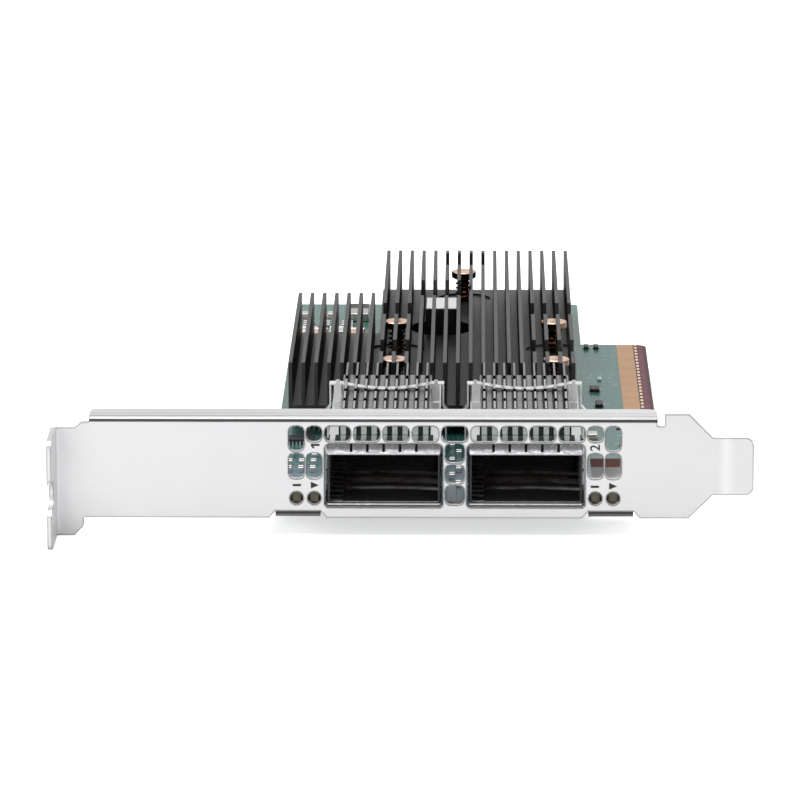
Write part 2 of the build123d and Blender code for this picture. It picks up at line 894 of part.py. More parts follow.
def bracket_screw(x):
    """A pan-head screw through the board into a board tab."""
    top = board_thickness + screw_head_height
    shank = Pos(x, screw_y) * RegularPolygon(screw_radius, screw_sides)
    head = Pos(x, screw_y) * RegularPolygon(screw_head_radius, head_sides)
    head = from_above(head, (board_thickness, top))
    head = chamfer(head.edges().group_by(Axis.Z)[-1], screw_head_chamfer)
    floor = top - drive_depth
    drive = standing(x, screw_y, floor, (drive_width, drive_length, screw_head_height))
    drive += standing(x, screw_y, floor, (drive_length, drive_width, screw_head_height))
    return from_above(shank, (-sheet - screw_tail, board_thickness)) + head - drive


def controller_lid():
    """The stepped metal lid over the controller's die."""
    lid = standing(chip_x, chip_y, chip_top, (lid_rim, lid_rim, lid_rim_thick))
    return lid + standing(chip_x, chip_y, chip_top, (lid_size, lid_size, lid_thick))


def power_coil():
    """A tall moulded coil that stands up through the heat sink's opening."""
    coil = standing(coil_x, coil_y, board_thickness, (coil_width, coil_length, coil_top - board_thickness))
    return chamfer(coil.edges().filter_by(Axis.Z), coil_corner)


def coil_label():
    """The blank white label on top of the tall coil."""
    size = (coil_width - 2 * label_margin, coil_length - 2 * label_margin, label_thick)
    return standing(coil_x, coil_y, coil_top, size)


def status_lamp(x):
    """A side-looking lamp on the board's front edge, with its lens in the bracket's hole."""
    width, length, height = lamp_size
    start = board_front + lamp_front_gap
    body = standing(x, start + length / 2, board_thickness, (width, length, height))
    half = lens_size / 2
    return body + block((x - half, x + half), (sheet, start), (lamp_z - half, lamp_z + half))


def rows_of(size, places):
    """The same small part standing at each place on the component face."""
    return [standing(x, y, board_thickness, size) for x, y in places]


def grid(start, step, count):
    """Places in columns and rows, from a first one."""
    columns, rows = count
    return [
        (start[0] + column * step[0], start[1] + row * step[1])
        for row in range(rows)
        for column in range(columns)
    ]


def ceramic_capacitors():
    rear = (board_left + rear_cap_inset, rear_cap_y)
    places = grid(rear, (rear_cap_pitch, rear_cap_row), rear_cap_grid)
    behind_chip = (chip_x - chip_cap_reach, chip_y + chip_cap_back)
    places += grid(behind_chip, (chip_cap_pitch, chip_cap_pitch), chip_cap_grid)
    left = (board_left + left_cap_inset, left_cap_y)
    places += grid(left, (left_cap_pitch, left_cap_row), left_cap_grid)
    for step, y in enumerate(channel_cap_y):
        places.append((port_middle + channel_cap_shift * (-1) ** step, y))
    return rows_of(chip_cap_size, places)


def resistors():
    x = board_left + rear_cap_inset
    rear_step = (rear_resistor_pitch, rear_resistor_row)
    places = grid((x, rear_resistor_y), rear_step, rear_resistor_grid)
    step = (step_resistor_pitch, rear_resistor_row)
    places += grid((x, step_resistor_y), step, step_resistor_grid)
    places += [(body_right + strip_resistor_x, y) for y in strip_resistor_y]
    return rows_of(resistor_size, places)


def strip_chips():
    """The black parts between the heat sink and the edge contacts."""
    return [standing(body_right + x, y, board_thickness, size) for x, y, size in strip_parts]


def bulk_capacitors():
    places = grid((board_left + bulk_inset, bulk_y), (bulk_pitch, bulk_pitch), bulk_grid)
    return rows_of(bulk_cap_size, places + [(x, rear_bulk_y) for x in rear_bulk_x])


def low_coil_places():
    """Two coils on the right under the heat sink's rear, and one on the left."""
    y = board_rear - low_coil_back
    return [
        (rear_pin_x - coil_spread, y),
        (rear_pin_x + coil_spread, y),
        (rear_pin_x + coil_spread, y + low_coil_pitch),
    ]


def voltage_regulators():
    left, right, _ = low_coil_places()
    beside = [(x, y - low_coil_pitch) for x, y in (left, right)]
    return rows_of(regulator_size, [(board_left + corner_x, corner_regulator_y)] + beside)


def low_coils():
    return rows_of(low_coil_size, low_coil_places())


def interface_chip():
    """The small chip on the left, between the bracket and the heat sink."""
    return standing(interface_x, interface_y, board_thickness, interface_size)


def memory_chip():
    return standing(board_left + corner_x, memory_y, board_thickness, memory_size)


def crystal_cans():
    first = board_left + crystal_inset
    places = [(first, crystal_y), (first + crystal_pitch, crystal_y)]
    places.append((body_right + strip_crystal_x, strip_crystal_y))
    return rows_of(crystal_size, places)


def solder_side_capacitors():
    start = (chip_x - solder_cap_reach, chip_y - solder_cap_reach)
    places = grid(start, (solder_cap_pitch, solder_cap_pitch), solder_cap_grid)
    return [standing(x, y, -solder_cap_size[2], solder_cap_size) for x, y in places]


def save(name, shape):
    """Write one node: a single solid, or a group of separate ones."""
    if isinstance(shape, list):
        solids = [solid for piece in shape for solid in piece.solids()]
    else:
        solids = shape.solids()
    node = solids[0] if len(solids) == 1 else Compound(children=list(solids))
    export_step(node, "parts/" + name + ".step")


save("bracket", bracket())
save("circuit_board", circuit_board())
save("edge_contacts_top", edge_contacts((board_thickness, board_thickness + contact_plating)))
save("edge_contacts_bottom", edge_contacts((-contact_plating, 0)))
for number, port_x in enumerate(port_centres, start=1):
    port = "port_" + str(number)
    save(port + "_cage", port_cage(port_x))
    save(port + "_spring_collar", port_collar(port_x))
    save(port + "_connector", port_connector(port_x))
    save(port + "_contacts", port_contacts(port_x))
    save(port + "_heat_sink", port_heat_sink(port_x))
    save(port + "_clip", port_clip(port_x))
save("main_heat_sink", main_heat_sink())
save("spring_pins", [spring_pin(x, y) for x, y in pins])
save("pin_springs", [pin_spring(x, y) for x, y in pins])
save("bracket_screws", [bracket_screw(x) for x in tab_places])
save("controller_chip", standing(chip_x, chip_y, board_thickness, (chip_size, chip_size, chip_thick)))
save("controller_lid", controller_lid())
save("thermal_pad", standing(chip_x, chip_y, lid_top, (lid_size, lid_size, sink_bottom - lid_top)))
save("power_coil", power_coil())
save("coil_label", coil_label())
save("status_lamps", [status_lamp(x) for x in lamp_places])
save("ceramic_capacitors", ceramic_capacitors())
save("resistors", resistors())
save("bulk_capacitors", bulk_capacitors())
save("voltage_regulators", voltage_regulators())
save("low_coils", low_coils())
save("memory_chip", memory_chip())
save("interface_chip", interface_chip())
save("strip_chips", strip_chips())
save("crystal_cans", crystal_cans())
save("solder_side_capacitors", solder_side_capacitors())
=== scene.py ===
import math

import bmesh
import bpy
from mathutils import Matrix, Vector


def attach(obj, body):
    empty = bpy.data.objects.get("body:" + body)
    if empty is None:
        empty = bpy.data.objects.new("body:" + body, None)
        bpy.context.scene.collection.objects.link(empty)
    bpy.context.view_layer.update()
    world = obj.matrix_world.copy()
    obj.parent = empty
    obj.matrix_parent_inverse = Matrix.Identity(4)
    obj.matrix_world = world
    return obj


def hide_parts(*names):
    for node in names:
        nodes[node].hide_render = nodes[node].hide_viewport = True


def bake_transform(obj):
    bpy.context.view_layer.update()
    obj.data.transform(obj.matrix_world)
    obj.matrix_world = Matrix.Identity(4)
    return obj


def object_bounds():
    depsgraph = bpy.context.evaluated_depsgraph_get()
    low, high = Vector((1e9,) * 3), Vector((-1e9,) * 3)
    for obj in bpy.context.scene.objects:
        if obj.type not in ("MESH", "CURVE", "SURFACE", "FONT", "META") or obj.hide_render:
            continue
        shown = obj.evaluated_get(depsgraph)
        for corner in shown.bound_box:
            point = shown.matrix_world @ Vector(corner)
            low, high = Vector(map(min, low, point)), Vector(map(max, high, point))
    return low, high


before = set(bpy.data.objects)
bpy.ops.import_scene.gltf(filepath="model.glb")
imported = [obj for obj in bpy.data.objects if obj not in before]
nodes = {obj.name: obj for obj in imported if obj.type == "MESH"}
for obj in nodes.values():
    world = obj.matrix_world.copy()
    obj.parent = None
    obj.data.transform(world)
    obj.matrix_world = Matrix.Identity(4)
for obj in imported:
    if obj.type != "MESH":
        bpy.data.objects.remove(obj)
cad_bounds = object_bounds()
scene = bpy.context.scene
scene.view_settings.view_transform = "Standard"

# The card was photographed from in front of its bracket, a little from above, with a long lens.
# The place was found by fitting the bracket's, board's and heat sinks' known corners.
lens = bpy.data.cameras.new("photo_lens")
lens.lens = 257.43
lens.sensor_width = 36.0
lens.shift_x = -0.036
lens.clip_end = 30.0
camera = bpy.data.objects.new("photo_camera", lens)
camera.location = (0.012075, -0.9571, 0.237075)
camera.rotation_euler = (math.radians(77.217), 0.0, math.radians(0.476))
scene.collection.objects.link(camera)
scene.camera = camera


# A plain white sweep carries the card, and soft panels light it from above and behind.
# The room is white at the horizon and dimmer in two bands, which gives the sheet metal its lines.
# The sweep glows round the board, and gives reflections more light at the left.
def tone(red, green, blue):
    """A colour given as 0 to 255 values, as linear light."""
    parts = [part / 255.0 for part in (red, green, blue)]
    linear = [part / 12.92 if part <= 0.04045 else ((part + 0.055) / 1.055) ** 2.4 for part in parts]
    return (*linear, 1.0)


class Value:
    """A shader value that reads as a number in a sum."""

    def __init__(self, finish, socket):
        self.finish = finish
        self.socket = socket

    def maths(self, operation, first, second=0.0, third=0.0):
        return self.finish.node("Math", {0: first, 1: second, 2: third}, operation=operation)

    def __add__(self, other):
        return self.maths("ADD", self, other)

    def __sub__(self, other):
        return self.maths("SUBTRACT", self, other)

    def __rsub__(self, other):
        return self.maths("SUBTRACT", other, self)

    def __mul__(self, other):
        return self.maths("MULTIPLY", self, other)

    def __truediv__(self, other):
        return self.maths("DIVIDE", self, other)

    def __gt__(self, other):
        return self.maths("GREATER_THAN", self, other)

    def __lt__(self, other):
        return self.maths("LESS_THAN", self, other)

    def __and__(self, other):
        return self.maths("MINIMUM", self, other)

    def __or__(self, other):
        return self.maths("MAXIMUM", self, other)

    def __abs__(self):
        return self.maths("ABSOLUTE", self)

    __radd__ = __add__
    __rmul__ = __mul__

    def repeats(self, pitch):
        """How far each point lies from the middle of its pitch, from 0 to half a pitch."""
        return abs(self.maths("WRAP", self, -pitch / 2, pitch / 2))

    def fade(self, start, end):
        """0 before start and 1 after end, with a soft step between."""
        ends = {"Value": self, "From Min": start, "From Max": end}
        return self.finish.node("MapRange", ends, interpolation_type="SMOOTHSTEP")

    def between(self, low, high):
        return (self > low) & (self < high)


class Finish:
    """A material whose patterns are written as sums over the card's own millimetres."""

    def __init__(self, name, shader="ShaderNodeBsdfPrincipled", **constants):
        self.made = bpy.data.materials.new(name)
        self.made.use_nodes = True
        self.tree = self.made.node_tree
        self.start(shader)
        for socket, value in constants.items():
            self.put(socket.replace("_", " ").title().replace("Ior", "IOR"), value)

    def start(self, shader):
        self.shader = next(node for node in self.tree.nodes if node.bl_idname == shader)
        place = self.node("TexCoord", output="Object" if self.made else "Generated")
        scale = 1000.0 if self.made else 1.0
        self.place = self.node("VectorMath", {0: place, "Scale": scale}, operation="SCALE")
        split = self.node("SeparateXYZ", {0: self.place})
        sockets = split.socket.node.outputs
        self.x, self.y, self.z = (Value(self, socket) for socket in sockets)

    def node(self, kind, values=None, output=0, stops=(), **settings):
        made = self.tree.nodes.new("ShaderNode" + kind)
        for name, value in settings.items():
            setattr(made, name, value)
        for place, (at, colour) in enumerate(stops):
            ramp = made.color_ramp.elements
            stop = ramp[place] if place < 2 else ramp.new(at)
            stop.position = at
            stop.color = colour
        for name, value in (values or {}).items():
            if isinstance(value, Value):
                self.tree.links.new(value.socket, made.inputs[name])
            else:
                made.inputs[name].default_value = value
        return Value(self, made.outputs[output])

    def put(self, name, value):
        """Set one of the shader's own sockets, to a constant or to a pattern."""
        if isinstance(value, Value):
            self.tree.links.new(value.socket, self.shader.inputs[name])
        else:
            self.shader.inputs[name].default_value = value

    def blend(self, amount, first, second):
        """One colour where the amount is 0 and the other where it is 1."""
        return self.node("Mix", {0: amount, 6: first, 7: second}, output=2, data_type="RGBA")

    def stretched(self, x, y, z):
        """The card's millimetres, stretched for a pattern with a direction."""
        return self.node("VectorMath", {0: self.place, 1: (x, y, z)}, operation="MULTIPLY")

    def noise(self, scale, detail=2.0, place=None):
        """Soft cloudy variation, scale in spots per millimetre."""
        values = {"Vector": place or self.place, "Scale": scale, "Detail": detail}
        return self.node("TexNoise", values)

    def rounded(self, radius):
        """The surface's direction with every sharp edge eased by a radius in millimetres."""
        return self.node("Bevel", {"Radius": radius / 1000.0}, samples=6)

    def edges(self, radius, full=0.2):
        """1 along sharp edges and 0 on the flats, at full strength from a turn of the surface on."""
        flat = self.node("NewGeometry", output="Normal")
        eased = self.rounded(radius)
        match = self.node("VectorMath", {0: eased, 1: flat}, output="Value", operation="DOT_PRODUCT")
        return (1.0 - match).fade(0.01, full)

    def relief(self, height, depth, over=None):
        """Raise the surface by a height from 0 to 1, with its depth in millimetres."""
        values = {"Height": height, "Distance": depth / 1000.0, "Strength": 1.0}
        if over:
            values["Normal"] = over
        self.put("Normal", self.node("Bump", values))

    def facing(self, axis):
        """How far a face looks along an axis, from -1 to 1."""
        flat = self.node("NewGeometry", output="True Normal")
        return self.node("SeparateXYZ", {0: flat}, output=axis)


sweep = Finish("white_sweep", Base_Color=tone(232, 232, 232), Roughness=0.95)
seen = sweep.node("LightPath", output="Is Camera Ray")
glossy = sweep.node("LightPath", output="Is Glossy Ray")
through = sweep.node("LightPath", output="Is Transmission Ray")
board_middle_x = 10.7
board_middle_y = 84.8
board_half_width = 34.4
board_half_length = 82.9
past_side = abs(sweep.x - board_middle_x) - board_half_width
past_end = abs(sweep.y - board_middle_y) - board_half_length
beside = (past_side | past_end).fade(-9.0, 2.0)
ahead = past_end.fade(-24.0, -12.0)
mirrored = 0.12 + 0.26 * (1.0 - sweep.x.fade(-110.0, -70.0))
glow = seen * (0.15 + 0.47 * (beside | ahead)) + (glossy | through) * mirrored * beside
sweep.put("Emission Color", sweep.blend(glow, tone(0, 0, 0), tone(255, 255, 255)))
sweep.put("Emission Strength", 1.0)

floor_gap = 0.00002
floor_mesh = bmesh.new()
bmesh.ops.create_grid(floor_mesh, x_segments=1, y_segments=1, size=4.0)
bmesh.ops.translate(floor_mesh, verts=floor_mesh.verts, vec=(0.0, 0.0, cad_bounds[0][2] - floor_gap))
floor_data = bpy.data.meshes.new("sweep")
floor_mesh.to_mesh(floor_data)
floor = bpy.data.objects.new("sweep", floor_data)
floor_data.materials.append(sweep.made)
scene.collection.objects.link(floor)

room = bpy.data.worlds.new("room")
scene.world = room
room.use_nodes = True


class Room(Finish):
    """The room's own light, written in the same way as a finish."""

    def __init__(self, world):
        self.made = None
        self.tree = world.node_tree
        self.start("ShaderNodeBackground")


walls = Room(room)
climb = walls.node("Math", {0: walls.z, 1: walls.y}, operation="ARCTAN2")
bands = (
    (0.0, 0.72), (0.12, 0.72), (0.19, 0.34), (0.23, 0.34), (0.31, 1.0), (0.58, 0.95), (0.67, 0.26),
    (0.90, 0.36), (1.0, 0.92))
greys = [(share, (level, level, level, 1.0)) for share, level in bands]
reflected = walls.node("ValToRGB", {0: climb / math.pi}, stops=greys)
backdrop = walls.node("LightPath", output="Is Camera Ray")
walls.put("Color", walls.blend(backdrop, reflected, (1.0, 1.0, 1.0, 1.0)))
walls.put("Strength", 1.0)

for name, place, aim, size, power in (
    ("overhead_panel", (-0.25, -0.10, 0.95), (0.0, 0.05, 0.0), 0.8, 5.0),
    ("rear_panel", (0.2, 0.75, 0.95), (0.0, 0.05, 0.0), 0.6, 3.0),
    ("front_panel", (-0.5, -0.9, 0.35), (0.0, 0.0, 0.0), 0.6, 2.2),
):
    panel = bpy.data.lights.new(name, "AREA")
    panel.size = size
    panel.energy = power
    lamp = bpy.data.objects.new(name, panel)
    lamp.location = place
    lamp.rotation_euler = (Vector(aim) - Vector(place)).to_track_quat("-Z", "Y").to_euler()
    scene.collection.objects.link(lamp)


# The bracket is one stamped and folded sheet of zinc-plated steel, with a fine rolled grain
# along its length. Its cut edges and the walls of its openings are painted dark as shade, most of
# all round the openings, and its bends carry softer bands of painted shade. A painted highlight
# runs down the blade, and the openings' lower lips are painted white where they are lit.
def wear(names, finish):
    """Give CAD nodes a finish."""
    for name in names:
        for place in nodes[name].material_slots:
            place.material = finish.made


zinc = Finish("zinc_plated_steel")
rolled = zinc.noise(1.0, 3.0, zinc.stretched(0.12, 2.5, 9.0))
cloud = zinc.noise(0.05, 2.0)
sheet_colour = zinc.blend(rolled * 0.5 + cloud * 0.5, tone(216, 216, 218), tone(236, 236, 237))
# A soft painted highlight runs down the blade where it bends a little.
blade_highlight_x = 55.3
blade_middle_z = 8.3
blade_half = 5.2
painted_crimp_highlight = 1.0 - abs(zinc.x - blade_highlight_x).fade(0.0, 1.7)
painted_crimp_highlight = painted_crimp_highlight * (abs(zinc.z - blade_middle_z) < blade_half)
sheet_colour = zinc.blend(painted_crimp_highlight * 0.45, sheet_colour, tone(252, 252, 252))
sheet_thick = 0.86
off_face = 0.03
# The walls of the cut openings are painted dark as shade.
painted_cut_wall_shade = zinc.y.between(off_face, sheet_thick - off_face) & (abs(zinc.facing("Y")) < 0.5)
painted_cut_wall_shade = painted_cut_wall_shade & (zinc.facing("Z") < 0.3)
sheet_colour = zinc.blend(painted_cut_wall_shade * 0.85, sheet_colour, tone(70, 70, 72))
# Thin lines of painted shade follow the cut edges, darker round the openings.
painted_edge_shade = zinc.edges(0.55, 0.05) * (zinc.facing("Z") < 0.3)
ports_middle = 8.6
openings_half = 29.0
openings_low = 0.6
openings_high = 15.7
openings = (abs(zinc.x - ports_middle) < openings_half) & zinc.z.between(openings_low, openings_high)
sheet_colour = zinc.blend(painted_edge_shade * (0.55 + 0.4 * openings), sheet_colour, tone(28, 28, 30))
flange_foot = 15.6
# The openings' lower lips are painted white and less metallic, as a painted highlight where they are
# lit.
lip = zinc.y.between(0.0, sheet_thick) & (zinc.facing("Z") > 0.3) & (zinc.z < flange_foot)
sheet_colour = zinc.blend(lip, sheet_colour, tone(255, 255, 255))
zinc.put("Metallic", 1.0 - 0.9 * lip)
flange_middle = -5.45
flange_half = 48.85
bend_z = 16.24
bend_y = 0.78
flange_rear = 2.9
flange_run = abs(zinc.x - flange_middle) < flange_half
flange_top = flange_run * (zinc.z > 16.5)
# Dark bands of painted shade lie along the flange's bends.
painted_fold_front_shade = flange_run * (zinc.y < 1.0) * (1.0 - abs(zinc.z - bend_z).fade(0.14, 0.36))
painted_fold_top_shade = flange_top * (1.0 - abs(zinc.y - bend_y).fade(0.35, 0.6))
painted_fold_rear_shade = flange_top * (1.0 - abs(zinc.y - flange_rear).fade(0.2, 0.5))
sheet_colour = zinc.blend(painted_fold_front_shade | painted_fold_top_shade * 0.6 | painted_fold_rear_shade * 0.2, sheet_colour, tone(92, 92, 94))
tabs_middle = 8.525
tabs_apart = 26.975
tab_half = 3.9
tab_run = abs(abs(zinc.x - tabs_middle) - tabs_apart) < tab_half
# The tabs' bends are painted dark as shade, lighter further down.
painted_tab_fold_shade = tab_run * (zinc.y < 1.15) * (1.0 - zinc.z.fade(0.1, 0.66))
tab_shade = zinc.blend(zinc.z.fade(-0.6, 0.0), tone(150, 150, 152), tone(66, 66, 68))
zinc.put("Base Color", zinc.blend(painted_tab_fold_shade, sheet_colour, tab_shade))
zinc.put("Roughness", 0.30 + 0.12 * rolled + 0.05 * cloud)
zinc.relief(rolled, 0.004, zinc.rounded(0.22))
wear(["bracket"], zinc)


# The numbers beside the ports and the marks beside the lamps are printed in dark ink
# on the bracket's face. A bar stands for a link and a triangle for traffic.
def fit(mesh, name, finishes, body="card", replaced=()):
    """Turn a mesh in millimetres into a finished piece, on its body if it has one body."""
    bmesh.ops.scale(mesh, vec=(0.001, 0.001, 0.001), verts=mesh.verts)
    data = bpy.data.meshes.new(name)
    mesh.to_mesh(data)
    mesh.free()
    for finish in finishes:
        data.materials.append(finish.made)
    piece = bpy.data.objects.new(name, data)
    scene.collection.objects.link(piece)
    if body:
        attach(piece, body)
    if replaced:
        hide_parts(*replaced)
    return piece


ink = Finish("dark_ink", Roughness=0.6)
spread = ink.noise(6.0, 3.0)
ink.put("Base Color", ink.blend(spread, tone(24, 24, 26), tone(48, 48, 50)))
ink_depth = 0.02
ink_gap = 0.001

two = bpy.data.curves.new("numeral", "FONT")
two.body = "2"
two.size = 2.36
two.extrude = ink_depth / 2
two.offset = 0.035
mesh = bmesh.new()
mesh.from_mesh(bpy.data.meshes.new_from_object(bpy.data.objects.new("numeral", two)))
bmesh.ops.remove_doubles(mesh, verts=mesh.verts, dist=1e-5)
on_end = Matrix(((0.0, -1.0, 0.0), (0.0, 0.0, -1.0), (1.0, 0.0, 0.0)))
bmesh.ops.rotate(mesh, cent=(0, 0, 0), matrix=on_end, verts=mesh.verts)
bmesh.ops.translate(mesh, verts=mesh.verts, vec=(33.5, -ink_depth / 2 - ink_gap, 10.95))
fit(mesh, "port_numeral_2", [ink])


def pushed(mesh, corners, depth):
    """A flat shape drawn in X and Z on the bracket's face, pushed out to the front."""
    verts = [mesh.verts.new((x, -ink_gap, z)) for x, z in corners]
    face = mesh.faces.new(verts)
    grown = bmesh.ops.extrude_face_region(mesh, geom=[face])
    moved = [item for item in grown["geom"] if isinstance(item, bmesh.types.BMVert)]
    bmesh.ops.translate(mesh, verts=moved, vec=(0.0, -depth, 0.0))


numeral_one = (
    (-16.16, 12.16), (-16.16, 11.80), (-15.86, 11.38), (-15.48, 11.38), (-15.70, 11.78),
    (-14.65, 11.78), (-14.65, 12.16))
mesh = bmesh.new()
pushed(mesh, numeral_one, ink_depth)
bmesh.ops.recalc_face_normals(mesh, faces=mesh.faces)
fit(mesh, "port_numeral_1", [ink])

mesh = bmesh.new()
bar_reach = 0.72
bar_half = 0.2
for x, z in ((-18.6, 4.85), (32.7, 4.65)):
    left, right = x - bar_reach, x + bar_reach
    foot, top = z - bar_half, z + bar_half
    pushed(mesh, ((left, foot), (right, foot), (right, top), (left, top)), ink_depth)
arrow_reach = 0.7
arrow_half = 0.6
for x, z in ((-15.5, 4.85), (35.85, 4.75)):
    left, right = x - arrow_reach, x + arrow_reach
    pushed(mesh, ((left, z - arrow_half), (right, z), (left, z + arrow_half)), ink_depth)
bmesh.ops.recalc_face_normals(mesh, faces=mesh.faces)
fit(mesh, "lamp_marks", [ink])


# The circuit board is glass-fibre laminate under a dark green lacquer. Fine copper tracks and
# plated holes lie under it, and its sawn edges and the dashed strip outside the contacts are bare.
# Towards the bracket its top carries a painted reflection of the bracket.
board = Finish("green_lacquered_laminate", IOR=1.5)
in_plan = board.stretched(1.0, 1.0, 0.0)
patch = board.node("TexVoronoi", {"Vector": in_plan, "Scale": 0.085}, output="Color")
pick = board.node("SeparateColor", {0: patch}, output=0)
diagonal = 0.707
slant = board.x * diagonal + board.y * diagonal
tongue_x = 32.55
fan_x = 36.0
fan_slope = 0.9
fan = board.y + abs(board.x - fan_x) * fan_slope
wave = board.node("Mix", {0: pick > 0.6, 2: board.x, 3: slant})
wave = board.node("Mix", {0: pick < 0.3, 2: wave, 3: board.y})
wave = board.node("Mix", {0: board.x > tongue_x, 2: wave, 3: fan})
track_pitch = 0.9
track = 1.0 - wave.repeats(track_pitch).fade(0.10, 0.16)
busy = board.noise(0.12, 1.0).fade(0.40, 0.5)
track = track * (busy | (board.x > tongue_x))
holes = board.node("TexVoronoi", {"Vector": in_plan, "Scale": 0.42}, output="Distance")
ring = holes.fade(0.07, 0.10) & (1.0 - holes.fade(0.17, 0.20))
drill = 1.0 - holes.fade(0.07, 0.10)
mottle = board.noise(0.6, 4.0)
lacquer = board.blend(mottle, tone(42, 88, 82), tone(60, 108, 100))
lacquer = board.blend(track * 0.7, lacquer, tone(72, 124, 114))
lacquer = board.blend(ring * 0.8, lacquer, tone(120, 150, 138))
lacquer = board.blend(drill, lacquer, tone(16, 34, 32))
# Towards the bracket the top is painted paler, a painted reflection of the bracket.
pale = (1.0 - board.y.fade(20.0, 42.0)) * (0.55 + 0.45 * board.noise(0.5, 4.0))
pale = pale * (board.facing("Z") > 0.5)
lacquer = board.blend(pale * 0.7, lacquer, tone(134, 146, 164))
weave = board.noise(1.0, 2.0, board.stretched(0.4, 0.4, 12.0))
bare = board.blend(weave, tone(88, 46, 55), tone(114, 64, 74))
strip_x = 42.66
bare = board.blend(board.x.fade(44.3, 44.6), bare, tone(74, 38, 46))
tips = board.x.between(42.7, 43.45)
bare = board.blend(tips, bare, tone(58, 34, 38))
dash_pitch = 2.7
dash_half = 0.75
dash = board.x.between(42.85, 43.35) & (board.y.repeats(dash_pitch) < dash_half)
bare = board.blend(dash, bare, tone(236, 202, 176))
outer = board.x > strip_x
sawn = board.blend(weave, tone(92, 58, 58), tone(128, 92, 84))
sawn_face = abs(board.facing("Z")) < 0.5
cover = board.blend(outer, lacquer, bare)
front_edge_y = 1.95
sawn = board.blend(board.y < front_edge_y, sawn, tone(158, 158, 150))
board.put("Base Color", board.blend(sawn_face, cover, sawn))
board.put("Roughness", 0.18 + 0.08 * mottle + 0.4 * (sawn_face | outer))
board.relief((track | ring) - drill, 0.03, board.rounded(0.12))
wear(["circuit_board"], board)

# The edge contacts are hard gold over nickel, with faint wipe marks from the socket.
gold = Finish("hard_gold", Metallic=1.0)
wiped = gold.noise(1.0, 3.0, gold.stretched(0.3, 7.0, 1.0))
haze = gold.noise(0.25, 2.0)
gold.put("Base Color", gold.blend(wiped * 0.6 + haze * 0.4, tone(216, 164, 122), tone(238, 190, 150)))
gold.put("Roughness", 0.26 + 0.16 * wiped)
gold.relief(wiped, 0.003, gold.rounded(0.04))
wear(["edge_contacts_top", "edge_contacts_bottom"], gold)

# Each port cage is folded from tinned sheet. Inside the mouth it is painted dark as shade, with
# pressed ribs across its floor that carry painted highlights, and painted light lines for fine
# grooves along one side. The dark stripes on its roof, under the bracket's vents, are painted shade
# where the gaps between the fins come, and its front faces above the mouth are painted dark as shade.
port_apart = 12.24
fin_pitch = 1.79
stripe_from_fin = 0.46


def across_port(finish):
    """How far each point lies to the side of the nearer port's middle."""
    return abs(abs(finish.x - ports_middle) - port_apart)


tin = Finish("tinned_sheet")
bloom = tin.noise(0.25, 2.0)
scratch = tin.noise(1.0, 2.0, tin.stretched(0.3, 6.0, 2.0))
bay_floor = 1.70
bay_roof = 11.30
bay_front = 0.4
bay_back = 49.15
bay_half = 9.43
port_x = across_port(tin)
inner = tin.z.between(bay_floor, bay_roof) & (tin.y > bay_front) & (tin.y < bay_back)
inner = inner & (port_x < bay_half)
bright = tin.blend(bloom * 0.6 + scratch * 0.4, tone(216, 217, 219), tone(242, 242, 243))
from_middle = (abs(tin.x - ports_middle) - port_apart) * ((tin.x > ports_middle) * 2.0 - 1.0)
bow = 0.012
bowed = tin.y + port_x * port_x * bow
# The pressed ribs across the floor carry painted highlights; painted light lines stand for grooves on
# one side.
ribs_and_highlights = 0.0
for rib_y, core, end, strength in ((11.4, 0.2, 1.8, 1.0), (16.9, 0.8, 2.6, 0.45), (22.8, 0.4, 1.9, 0.5)):
    ribs_and_highlights = (1.0 - abs(bowed - rib_y).fade(core, end)) * strength | ribs_and_highlights
ribs_and_highlights = ribs_and_highlights * from_middle.fade(-8.5, -3.0) * tin.noise(0.22, 3.0).fade(0.15, 0.6)
groove_pitch = 3.4
groove_highlights = (from_middle < -7.2) * (1.0 - (tin.y + bloom * 3.0).repeats(groove_pitch).fade(0.3, 0.9))
# Inside the bay the tin is painted dark as shade, and made not metallic.
dark = tin.blend(ribs_and_highlights | groove_highlights * 0.35, tone(58, 58, 61), tone(238, 238, 242))
roof_z = 11.5
stripes_end_y = 9.6
# Stripes of painted shade on the roof under the vents, where the gaps between the fins come.
painted_vent_gap_shade = (tin.z > roof_z) & (tin.y < stripes_end_y) & (port_x.repeats(fin_pitch) > stripe_from_fin)
bright = tin.blend(painted_vent_gap_shade, bright, tone(4, 30, 16))
# The front faces above the mouth are painted dark as shade.
mouth = (tin.facing("Y") < -0.5) & (tin.y < 1.5) & (tin.z > 11.0)
bright = tin.blend(mouth, bright, tone(12, 12, 13))
shaded = painted_vent_gap_shade | mouth
tin.put("Base Color", tin.blend(inner, bright, dark))
tin.put("Metallic", 1.0 - (inner | shaded))
tin.put("Roughness", 0.06 + 0.08 * bloom + 0.10 * inner + 0.8 * shaded)
tin.relief(bloom * 0.03 + ribs_and_highlights * inner, 0.20, tin.rounded(0.12))
wear(["port_1_cage", "port_2_cage"], tin)

# The collar round each mouth is thin sprung sheet, bright and slightly crinkled where its
# fingers were pressed. Away from its top band and lower fingers it is painted dark as shade,
# darker still at the fingers' roots. The cage's stripes of painted shade go on over its top.
spring_sheet = Finish("sprung_bright_sheet")
crinkle = spring_sheet.noise(0.9, 3.0)
leaf = spring_sheet.blend(crinkle, tone(176, 177, 180), tone(240, 240, 242))
flare_end = 1.45
lower_fingers_top = 1.79
flared = spring_sheet.y < flare_end
# Away from the top band and the lower fingers, the sheet is painted dark as shade.
band = spring_sheet.z.fade(10.2, 10.6) | (spring_sheet.z < lower_fingers_top)
sprung = spring_sheet.blend(band, tone(62, 62, 66), leaf)
